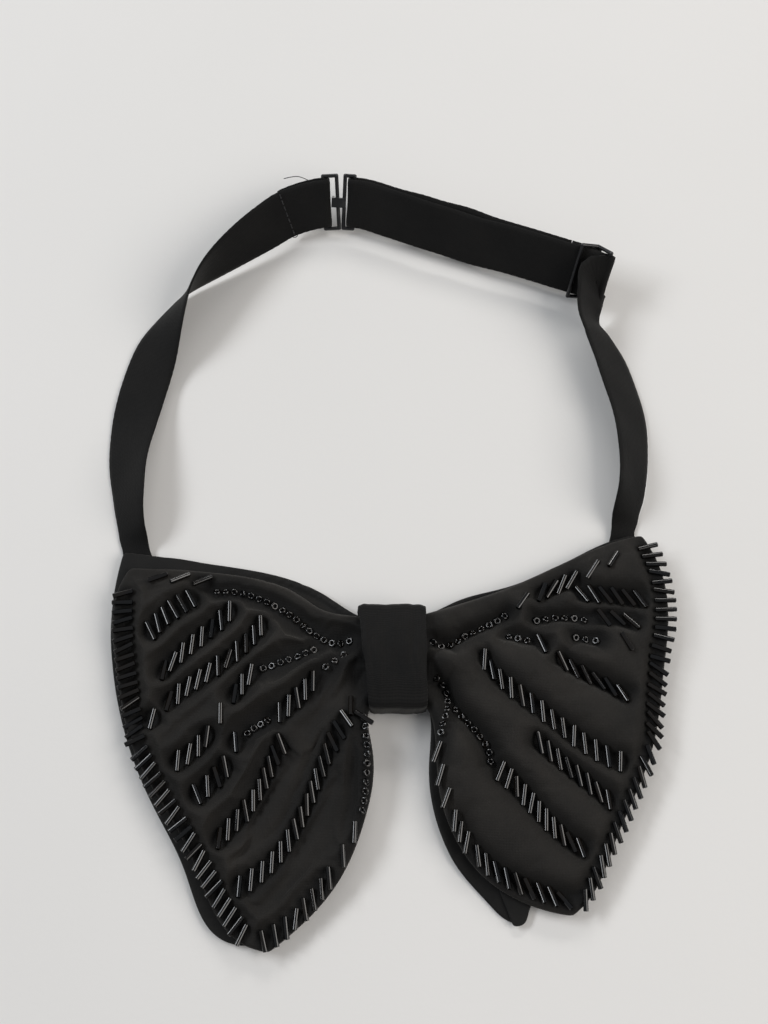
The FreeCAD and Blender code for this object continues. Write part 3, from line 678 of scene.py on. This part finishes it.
def glass_mesh(name, vertices, skin):
    """A mesh object of black glass with crisp cut ends."""
    obj = make_object(name, vertices, skin)
    obj.data.set_sharp_from_angle(angle=SHARP_ANGLE)
    obj.data.materials.append(GLASS)
    return obj


def settled(surface, low, high, rise):
    """A bead's two ends, dropped onto the cloth and raised by half its thickness."""
    ends = [dropped(surface, end[0], end[1]) for end in (low, high)]
    known = [z for z in ends if z is not None]
    a, b = np.array(low), np.array(high)
    if len(known) == 2:
        a[2], b[2] = ends[0] + rise, ends[1] + rise
    elif known:
        a[2] = b[2] = known[0] + rise
    return a, b


def bead_string(name, parts, surface, shape, kind, jitter):
    """Every bead of a row laid on the cloth as it really lies, in one mesh."""
    points, faces = shape
    rise = BUGLE_RISE if kind == "bugle" else SEED_RISE
    chance = random.Random(name)
    vertices, skin = [], []
    for low, high in bead_segments(*parts):
        a, b = settled(surface, low, high, rise)
        along = Vector(b - a).normalized()
        if kind == "seed":
            turn = chance.uniform(0, 2 * math.pi)
            along = Vector((math.cos(turn), math.sin(turn), chance.uniform(1.0, 3.2))).normalized()
        along = Matrix.Rotation(math.radians(chance.gauss(0, jitter)), 3, "Z") @ along
        along.z += chance.gauss(0, 0.05)
        along.normalize()
        size = chance.uniform(0.95, 1.03)
        add_copy(vertices, skin, laid(points * np.array([size, 1, 1]), (a + b) / 2, along), faces)
    obj = glass_mesh(name, vertices, skin)
    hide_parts(*parts)
    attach(obj, "bow")


def corner_bugles(shape, surfaces):
    """Two bugles that end a row across the knot's lower left corner."""
    points, faces = shape
    vertices, skin = [], []
    for ends in (((-11.4, -13.4), (-11.4, -19.0)), ((-10.3, -18.0), (-5.3, -21.3))):
        placed = []
        top = 0.0
        for x, y in ends:
            tops = [dropped(surface, x * MM, y * MM) for surface in surfaces]
            top = max([z for z in tops if z is not None] or [top])
            placed.append(Vector((x * MM, y * MM, top + 0.8 * MM)))
        low, high = placed
        add_copy(vertices, skin, laid(points, (low + high) / 2, (high - low).normalized()), faces)
    obj = glass_mesh("corner_bugles", vertices, skin)
    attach(obj, "bow")


# ---- knot ----
def knot_swell(share, a):
    """How far the knot's cloth stands out of the CAD section: soft folds, two creases and rolled hems.
    share runs from its left edge to its right edge, and a is the angle round it."""
    front = smooth(0.1, 0.7, math.sin(a))
    hem = 0.5 * MM * (smooth(0.09, 0.0, share) + smooth(0.91, 1.0, share))
    fold = 0.30 * math.sin(share * 11 + 1.1 * math.sin(2 * a))
    fold += 0.10 * math.sin(share * 31 - 1.7 * math.cos(a))
    crease = 0.42 * math.exp(-((share - 0.80 - 0.03 * math.sin(3 * a)) / 0.025) ** 2)
    crease += 0.34 * math.exp(-((share - 0.13 - 0.02 * math.cos(2 * a)) / 0.03) ** 2)
    return (fold - crease) * MM * (0.35 + 0.65 * front) - hem


def knot_points(surface, low, high, share, a):
    """The knot's outer and inner point at a share of the way across it and an angle round it."""
    ray = Vector((0, math.cos(a), math.sin(a)))
    core = Vector((0, (low.y + high.y) / 2, (low.z + high.z) / 2))
    probe = surface.ray_cast(core + ray * 0.05, -ray)[0]
    left = low.x + KNOT_SLANT * (high.y - probe.y) / (high.y - low.y)
    drawn_in = 0.7 * MM * abs(math.sin(2 * a + 0.5)) * (share - 0.5)
    x = left + (high.x - left) * share - drawn_in
    spot = Vector((x * 0.96 + 0.2 * MM, core.y, core.z))
    out = surface.ray_cast(spot + ray * 0.05, -ray)[0] or probe
    into = surface.ray_cast(spot, ray)[0] or probe - ray * 1.1 * MM
    skin = Vector((x, out.y, out.z)) + ray * knot_swell(share, a)
    skin.z = max(skin.z, low.z + 0.05 * MM)
    return skin, Vector((x, into.y, into.z))


def ring_faces(rows, row):
    """Faces of a ring with an outer and an inner skin, each of so many rows of so many points."""
    count = rows * row
    end = row - 1
    faces = []
    for i in range(rows):
        a = i * row
        b = (i + 1) % rows * row
        for j in range(end):
            faces.append((a + j, a + j + 1, b + j + 1, b + j))
            faces.append((count + a + j, count + b + j, count + b + j + 1, count + a + j + 1))
        faces.append((a, b, count + b, count + a))
        faces.append((a + end, count + a + end, count + b + end, b + end))
    return faces


def knot_wrap():
    """The strip wrapped round both waists: the CAD section, with soft folds running round it."""
    low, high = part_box("knot_wrap")
    surface = surface_of("knot_wrap")
    outer, inner, uv = [], [], []
    for i in range(KNOT_ROWS):
        a = 2 * math.pi * i / KNOT_ROWS
        for j in range(KNOT_COLUMNS + 1):
            skin, lining = knot_points(surface, low, high, j / KNOT_COLUMNS, a)
            outer.append(skin)
            inner.append(lining)
            uv.append((skin.x, KNOT_RADIUS * a))
    faces = ring_faces(KNOT_ROWS, KNOT_COLUMNS + 1)
    knot = make_object("knot_wrap_cloth", outer + inner, faces, uv + uv)
    subdivided(knot, 1)
    knot.data.materials.append(KNOT_SATIN)
    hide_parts("knot_wrap", "knot_padding")
    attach(knot, "bow")
    mesh = knot.data
    return BVHTree.FromPolygons([v.co for v in mesh.vertices], [p.vertices for p in mesh.polygons])


# ---- neckband ----
# A station: x, y, lean in degrees, width, height of the lower edge. These lengths are in millimetres.
LEFT_TAIL = [(-71.7, 12.0, 0, 12.0, 0.55), (-73.0, 24.0, 2, 11.0, 0.5)]
LEFT_STATIONS = [
    (-74.2, 31.6, 10, 8.0, 0.6), (-75.3, 37.0, 38, 10.5, 0.6), (-76.6, 46.0, 44, 13.8, 0.6),
    (-77.3, 62.0, 30, 15.0, 0.6), (-75.1, 79.0, 12, 15.0, 0.6), (-71.8, 92.0, 16, 15.0, 0.6),
    (-67.1, 103.5, 46, 15.0, 0.7), (-62.0, 112.3, 70, 15.0, 0.9), (-55.7, 119.6, 92, 15.0, 1.3),
    (-47.0, 127.2, 112, 15.0, 1.9), (-38.5, 134.4, 128, 15.0, 2.4), (-31.6, 139.2, 134, 15.0, 2.8),
]
RIGHT_TAIL = [(64.6, 17.0, 0, 12.0, 0.55), (66.6, 29.0, 2, 10.0, 0.5)]
RIGHT_STATIONS = [
    (67.3, 37.4, 12, 7.0, 0.6), (68.3, 42.6, 44, 11.0, 0.6), (69.8, 49.0, 52, 14.0, 0.6),
    (71.0, 61.0, 48, 15.0, 0.6), (70.0, 74.2, 42, 15.0, 0.6), (66.4, 87.9, 42, 15.0, 0.6),
    (62.3, 98.2, 50, 15.0, 0.8), (59.6, 103.0, 58, 15.0, 2.0), (59.6, 108.2, 56, 15.0, 4.2),
]

# At the clasp the band leans back. Each of its two layers there lies this far from the middle between them.
CLASP_LEAN = 135.0
LAYER = 1.7

# Along the doubled run: its start, the slider's middle bar and its outer bar.
RUN_FROM, RUN_TO, RUN_FAR = 14.0, 78.0, 82.5
BAR_RADIUS = 0.65
LOOP_LENGTH = 8.0

# The steps along the end turned back at the eye, and round a bar; the rows of stitches.
TURNED_BACK = 12
TURN_STEPS = 12
STITCH_SPOTS = range(-3, 4)
STITCH_GAP = 2.0
STITCH_RISE = 0.47

# Ripples and the edges' frill, in radians a metre: one every 20 mm and one every 2.4 mm.
RIPPLE_RATE = 310
FRILL_RATE = 2600


def lean_vector(inward, lean):
    """The direction across the band, from its lower edge to its upper edge."""
    a = math.radians(lean)
    return inward * math.cos(a) + Vector((0, 0, math.sin(a)))


def eased(times, values, time, slopes=(None, None)):
    """A value that runs smoothly through given values at given times."""
    last = len(times) - 1
    k = max(i for i in range(last) if time >= times[i] or i == 0)
    ends = []
    for i in (k, k + 1):
        a, b = max(0, i - 1), min(last, i + 1)
        slope = (values[b] - values[a]) / (times[b] - times[a])
        if i == 0 and slopes[0] is not None:
            slope = slopes[0]
        if i == last and slopes[1] is not None:
            slope = slopes[1]
        ends.append(slope)
    span = times[k + 1] - times[k]
    t = (time - times[k]) / span
    start = (1 + 2 * t) * (1 - t) ** 2 * values[k] + t * (1 - t) ** 2 * span * ends[0]
    return start + t * t * (3 - 2 * t) * values[k + 1] + t * t * (t - 1) * span * ends[1]


def band_frames(stations, first, last, turn, step=1.0):
    """Places along a band: middle, direction across, normal and width.
    first and last are its directions at the ends, and turn is the side that it leans to, 1 or -1."""
    times = [0.0]
    for a, b in zip(stations, stations[1:]):
        times.append(times[-1] + math.hypot(b[0] - a[0], b[1] - a[1]))
    columns = list(zip(*stations))
    first, last = Vector(first).normalized(), Vector(last).normalized()

    def spot(time):
        x = eased(times, columns[0], time, (first.x, last.x))
        y = eased(times, columns[1], time, (first.y, last.y))
        return Vector((x, y, 0))

    frames = []
    count = max(4, int(times[-1] / step))
    for i in range(count + 1):
        time = times[-1] * i / count
        heading = (spot(min(times[-1], time + 0.05)) - spot(max(0, time - 0.05))).normalized()
        lean, width, low = [eased(times, columns[k], time) for k in (2, 3, 4)]
        across = lean_vector(Vector((heading.y, -heading.x, 0)) * turn, lean)
        middle = spot(time) + Vector((0, 0, low + across.z * width / 2))
        frames.append((middle * MM, across, heading.cross(across).normalized(), width * MM))
    return frames


class Stretch:
    """Local axes of a straight stretch: X along it, Y across it, Z out of its inner face."""

    def __init__(self, origin, direction):
        a = math.radians(direction)
        self.along = Vector((math.cos(a), math.sin(a), 0))
        self.across = lean_vector(Vector((self.along.y, -self.along.x, 0)), CLASP_LEAN)
        self.up = self.along.cross(self.across)
        self.origin = Vector(origin) * MM

    def at(self, x, y, z):
        """A place given in millimetres along, across and out."""
        return self.origin + (self.along * x + self.across * y + self.up * z) * MM

    def station(self, x, z, lean=CLASP_LEAN):
        """The place on a layer as a station for band_frames."""
        p = self.at(x, 0, z) / MM
        width = BAND_WIDTH / MM
        return (p.x, p.y, lean, width, p.z - math.sin(math.radians(CLASP_LEAN)) * width / 2)

    def frame(self, x, z, angle=90.0):
        """A place on a layer, whose normal turns from along to out with the angle."""
        a = math.radians(angle)
        return (self.at(x, 0, z), self.across, self.along * math.cos(a) + self.up * math.sin(a), BAND_WIDTH)

    def layer(self, x0, x1, z):
        """A straight layer, with a place about every millimetre."""
        count = max(2, int(abs(x1 - x0)))
        return [self.frame(x0 + (x1 - x0) * i / count, z) for i in range(count + 1)]

    def turn(self, x, z, radius, start, stop):
        """The band bent round a bar at (x, z), its middle at a radius from the bar's middle."""
        frames = []
        for i in range(TURN_STEPS + 1):
            a = start + (stop - start) * i / TURN_STEPS
            r = math.radians(a)
            frames.append(self.frame(x + radius * math.cos(r), z + radius * math.sin(r), a))
        return frames


def flipped(frames):
    """The same places with their two faces exchanged."""
    return [(middle, across, -normal, width) for middle, across, normal, width in frames]


def run_length(frames):
    """The length of the band's middle line through its places."""
    return sum((b[0] - a[0]).length for a, b in zip(frames, frames[1:]))


def band_section():
    """The band's section, in shares of its width and thickness: firmer edges and rounded sides."""
    columns = 12
    top = []
    for k in range(columns):
        s = -0.5 + k / (columns - 1)
        edge = smooth(0.40, 0.47, abs(s)) * smooth(0.5, 0.475, abs(s))
        rounded = 0.62 if abs(s) > 0.499 else 1.0
        top.append((s * 0.985, 0.5 * (0.86 + 0.34 * float(edge)) * rounded))
    return top + [(0.5, 0.0)] + [(s, -t) for s, t in reversed(top)] + [(-0.5, 0.0)]


def ribbon(name, frames, body, parts, wave=0.12, start=0.0):
    """A woven band through its places, with a slight ripple of wave millimetres.
    start is how far along its band the piece begins, so that the weave and ripple carry on."""
    section = band_section()
    count = len(section)
    vertices, uv = [], []
    run = start
    for i, (middle, across, normal, width) in enumerate(frames):
        if i:
            run += (middle - frames[i - 1][0]).length
        ripple = wave * MM * math.sin(run * RIPPLE_RATE) * smooth(0, 0.01, run)
        for s, t in section:
            frill = 1.0 + 0.006 * math.sin(run * FRILL_RATE) if abs(s) > 0.45 else 1.0
            out = t * BAND_THICK + ripple * math.cos(s * 5)
            vertices.append(middle + across * (s * width * frill) + normal * out)
            uv.append((s * width, run))
    faces = [tuple(range(count)), tuple(reversed(range(len(vertices) - count, len(vertices))))]
    for i in range(len(frames) - 1):
        for k in range(count):
            n = (k + 1) % count
            faces.append((i * count + k, i * count + n, (i + 1) * count + n, (i + 1) * count + k))
    obj = make_object(name, vertices, faces, uv)
    obj.data.set_sharp_from_angle(angle=math.radians(60))
    obj.data.materials.append(ELASTIC)
    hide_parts(*parts)
    if isinstance(body, str):
        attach(obj, body)
    else:
        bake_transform(obj)
    return obj


def relaxed(frames, rise, swell):
    """The same stretch of band, slack over its first part: it rises across and swells out, in millimetres."""
    slack = []
    for k, (middle, across, normal, width) in enumerate(frames):
        share = min(1.0, k / (len(frames) - 1) / 0.6)
        bow = math.sin(math.pi * share) ** 2
        lift = rise * bow * (1.0 + 0.5 * math.cos(2.6 * math.pi * share))
        out = swell * bow * (1.0 + 0.6 * math.sin(3.1 * math.pi * share))
        slack.append((middle + (across * lift + normal * out) * MM, across, normal, width))
    return slack


def stitches(name, places, body):
    """Short stitches, each a small capsule of thread at (place, direction, normal)."""
    points, faces = capsule(0.75 * MM, 0.17 * MM, 8)
    vertices, skin = [], []
    for place, along, normal in places:
        basis = np.array([along, normal.cross(along), normal])
        add_copy(vertices, skin, points @ basis + np.array(place), faces)
    obj = make_object(name, vertices, skin)
    obj.data.materials.append(THREAD)
    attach(obj, body)


def capsule(half, radius, facets):
    """A short rod with rounded ends along X."""
    profile = [(-half, 0.05 * radius), (-half + radius * 0.3, radius * 0.75), (-half + radius, radius)]
    profile += [(-x, r) for x, r in reversed(profile)]
    points, faces = [], []
    count = len(profile)
    for i in range(facets):
        angle = 2 * math.pi * i / facets
        points += [(x, r * math.cos(angle), r * math.sin(angle)) for x, r in profile]
        a = i * count
        b = (i + 1) % facets * count
        faces += [(a + k, a + k + 1, b + k + 1, b + k) for k in range(count - 1)]
    faces.append(tuple(i * count for i in reversed(range(facets))))
    faces.append(tuple(i * count + count - 1 for i in range(facets)))
    return np.array(points), faces


def loose_thread(name, points, body):
    """A short end of sewing thread."""
    curve = bpy.data.curves.new(name, "CURVE")
    curve.dimensions = "3D"
    curve.bevel_depth = 0.13 * MM
    curve.bevel_resolution = 2
    curve.use_fill_caps = True
    line = curve.splines.new("NURBS")
    line.points.add(len(points) - 1)
    for point, place in zip(line.points, points):
        point.co = (*[c * MM for c in place], 1)
    line.order_u = 3
    line.use_endpoint_u = True
    obj = in_scene(name, curve)
    graph = bpy.context.evaluated_depsgraph_get()
    mesh = bpy.data.meshes.new_from_object(obj.evaluated_get(graph))
    bpy.data.objects.remove(obj)
    obj = in_scene(name, mesh)
    mesh.shade_smooth()
    mesh.materials.append(THREAD)
    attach(obj, body)


def left_run(eye):
    """The band's left half: up from under its wing, round the eye and a little way back."""
    stations = LEFT_TAIL + LEFT_STATIONS + [eye.station(0, LAYER)]
    left = band_frames(stations, (-0.1, 1, 0), eye.along, 1)
    fold = eye.turn(0, 0, LAYER, 90, -90)[1:]
    end = left[-TURNED_BACK - 1:]
    back = []
    for k, (middle, across, normal, width) in enumerate(end):
        gap = 1.2 + 2.2 * (k / TURNED_BACK) ** 0.7
        back.append((middle - normal * gap * MM, across, -normal, width))
    back.reverse()
    parts = ["band_tail_left", "band_left_run", "band_left_end"]
    across_fold = ("bow", "left_band", Vector((-74.2, 30.4, 0.7)) * MM, Vector((-74.9, 37.0, 0.7)) * MM)
    ribbon("neckband_left", left + fold + back[1:], across_fold, parts)
    middle, across, normal = end[0][:3]
    row = [middle + across * k * STITCH_GAP * MM + normal * STITCH_RISE * MM for k in STITCH_SPOTS]
    stitches("eye_end_stitches", [(p, across, normal) for p in row], "left_band")


def right_run(run):
    """The band's right half: from under its wing to its turn round the slider's bar."""
    last = run.station(RUN_FAR - 1.5, 4.1, 45.0)
    right = band_frames(RIGHT_TAIL + RIGHT_STATIONS + [last], (0.1, 1, 0), run.along, -1)
    split = min(range(len(right)), key=lambda k: abs(right[k][0].y - 50 * MM))
    lower = right[: split + 1]
    across_fold = ("bow", "right_band", Vector((67.3, 35.4, 0.7)) * MM, Vector((67.8, 42.0, 0.7)) * MM)
    ribbon("neckband_right_lower", lower, across_fold, ["band_tail_right"])
    upper = right[split:] + flipped(run.turn(RUN_FAR, z=2.9, radius=1.2, start=90, stop=-90))[1:]
    moving = ("right_band", "slider", right[split][0], right[-1][0])
    upper_parts = ["band_right_single_run", "band_slider_turn"]
    ribbon("neckband_right_upper", upper, moving, upper_parts, start=run_length(lower))


def doubled_run(run):
    """The two layers between the hook and the slider, built at one length; the real ones shorten as the
    slider moves.
    """
    sewn_end = RUN_TO - LOOP_LENGTH - 0.2
    inner = relaxed(run.layer(RUN_FROM - 0.3, RUN_FAR, LAYER), rise=-0.5, swell=0.35)
    outer = relaxed(run.layer(RUN_FROM - 0.3, sewn_end, -LAYER), rise=0.35, swell=-0.9)
    through = ribbon("doubled_run_through", inner, "right_band", ["band_right_through_run"])
    sewn = ribbon("doubled_run_sewn", outer, "right_band", ["band_right_sewn_run"])
    for piece, far in ((through, RUN_FAR), (sewn, sewn_end)):
        run.at(RUN_FROM, 0, 0)
        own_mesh(piece)


def hook_fold(hook, run):
    """The band bent round the hook, with both of its layers running on into the doubled run."""
    ends = [hook.station(0, LAYER), run.station(RUN_FROM, LAYER)]
    front = band_frames(ends, hook.along, run.along, 1, 0.8)
    under = [(m - n * 2 * LAYER * MM, a, -n, w) for m, a, n, w in front]
    bend = hook.turn(0, 0, LAYER, 270, 90)
    ribbon("hook_end", under[::-1] + bend[1:-1] + front, "right_band", ["band_right_end"])


def slider_loop(run):
    """The band's sewn end, looped round the slider's bar and stitched down."""
    gap = BAR_RADIUS + BAND_THICK / MM / 2
    bar_z = gap - LAYER
    near = RUN_TO - LOOP_LENGTH
    wrap = run.layer(near, RUN_TO, bar_z + gap) + run.turn(RUN_TO, bar_z, gap, 90, -90)[1:]
    wrap += flipped(run.layer(RUN_TO, near, bar_z - gap)[1:])
    ribbon("slider_bar_loop", wrap, "slider", ["band_slider_loop"], wave=0.0)
    row = [run.at(RUN_TO - 6.5, k * STITCH_GAP, bar_z + gap + STITCH_RISE) for k in STITCH_SPOTS]
    stitches("slider_stitches", [(p, run.across, run.up) for p in row], "slider")


def loose_threads():
    """Two ends of thread left hanging near the eye."""
    end = [(-33.5, 151.5, 8.2), (-30.5, 150.6, 11.0), (-27.9, 149.3, 12.9), (-25.8, 147.9, 13.2)]
    loose_thread("loose_thread_top", end, "left_band")
    curl = [
        (-29.5, 137.5, 4.0), (-31.5, 135.6, 3.2), (-30.6, 133.8, 2.2),
        (-28.8, 134.6, 2.4), (-29.4, 136.0, 3.4),
    ]
    loose_thread("loose_thread_curl", curl, "left_band")


def neckband():
    """The band from under one wing, through the clasp and slider, to under the other wing."""
    eye = Stretch((-20.8, 143.0, 8.1), 3.0)
    hook = Stretch((-11.66, 143.0, 8.1), -4.0)
    run = Stretch((-13.1, 144.0, 8.1), -19.0)
    left_run(eye)
    right_run(run)
    doubled_run(run)
    hook_fold(hook, run)
    slider_loop(run)
    loose_threads()


# ---- floor, light and camera ----
def floor_card():
    """The pale card that everything lies on."""
    reach = 1.6
    corners = [(-reach, -reach, 0), (reach, -reach, 0), (reach, reach, 0), (-reach, reach, 0)]
    mesh = bpy.data.meshes.new("floor")
    mesh.from_pydata(corners, [], [(0, 1, 2, 3)])
    floor = in_scene("floor", mesh)
    floor.data.materials.append(pale_floor())


def room_light():
    """Dim, cool light from all round."""
    world = bpy.data.worlds.new("studio")
    world.use_nodes = True
    background = world.node_tree.nodes["Background"]
    background.inputs["Color"].default_value = (0.93, 0.96, 1.0, 1)
    background.inputs["Strength"].default_value = 0.22
    bpy.context.scene.world = world


def area_light(name, place, aim, size, power, colour):
    """A rectangular light at a place, turned towards its aim."""
    light = bpy.data.lights.new(name, "AREA")
    light.shape = "RECTANGLE"
    light.size, light.size_y = size
    light.energy = power
    light.color = colour
    obj = in_scene(name, light)
    obj.location = place
    obj.rotation_euler = (Vector(place) - Vector(aim)).to_track_quat("Z", "Y").to_euler()


def camera_above():
    """The photo's camera, looking down from in front of the bow."""
    camera = bpy.data.cameras.new("camera")
    camera.sensor_width = 36
    camera.lens = 55.69
    obj = in_scene("camera", camera)
    obj.location = (-0.00227, -0.1152, 0.43695)
    obj.rotation_euler = (math.radians(20), 0, 0)
    bpy.context.scene.camera = obj
    bpy.context.scene.view_settings.view_transform = "Standard"


def studio():
    """A pale floor, a soft window from the upper left, a warm fill, a faint strip behind and the camera."""
    floor_card()
    room_light()
    area_light("window", (-1.15, 0.42, 1.05), (0, 0, 0), (1.0, 0.42), 13.5, (0.93, 0.965, 1.0))
    area_light("fill", (0.80, -0.16, 0.75), (0.03, -0.03, 0), (0.9, 0.8), 7.6, (1.0, 0.96, 0.91))
    area_light("strip", (0.10, 0.95, 0.60), (0, 0, 0), (0.6, 0.16), 3.0, (1.0, 0.98, 0.95))
    camera_above()


def kept_node_looks():
    """Enamel for the clasp's and slider's metal, and thread for the other CAD nodes that still show."""
    for name, node in nodes.items():
        if not node.hide_render:
            node.data.materials.clear()
            node.data.materials.append(ENAMEL if name in ("eye", "hook", "slider") else THREAD)


def main():
    """Every piece of the bow tie, from the floor up, and then the studio."""
    bugle = tube_rings(BUGLE_LENGTH, BUGLE_RADIUS, BUGLE_BORE, 16)
    seed = ring_bead(SEED_RADIUS, SEED_WIRE, 18, 12)
    surfaces = []
    for side in SIDES:
        lining = "back_wing_lining_" + side
        back_layer(lining, ["back_lining_" + side, "back_interlining_" + side], 0.0)
        back_layer("back_wing_face_" + side, ["back_face_" + side], BACK_FOLDS)
        surface = front_pad(side)
        surfaces.append(surface)
        bead_string("edge_bugles_sewn_" + side, ["edge_bugles_" + side], surface, bugle, "bugle", jitter=6)
        bead_string("vein_bugles_sewn_" + side, ["vein_bugles_" + side], surface, bugle, "bugle", jitter=5)
        bead_string("edge_seeds_sewn_" + side, ["edge_seed_beads_" + side], surface, seed, "seed", jitter=0)
        bead_string("vein_seeds_sewn_" + side, ["vein_seed_beads_" + side], surface, seed, "seed", jitter=0)
    corner_bugles(bugle, surfaces + [knot_wrap()])
    neckband()
    kept_node_looks()
    studio()


main()
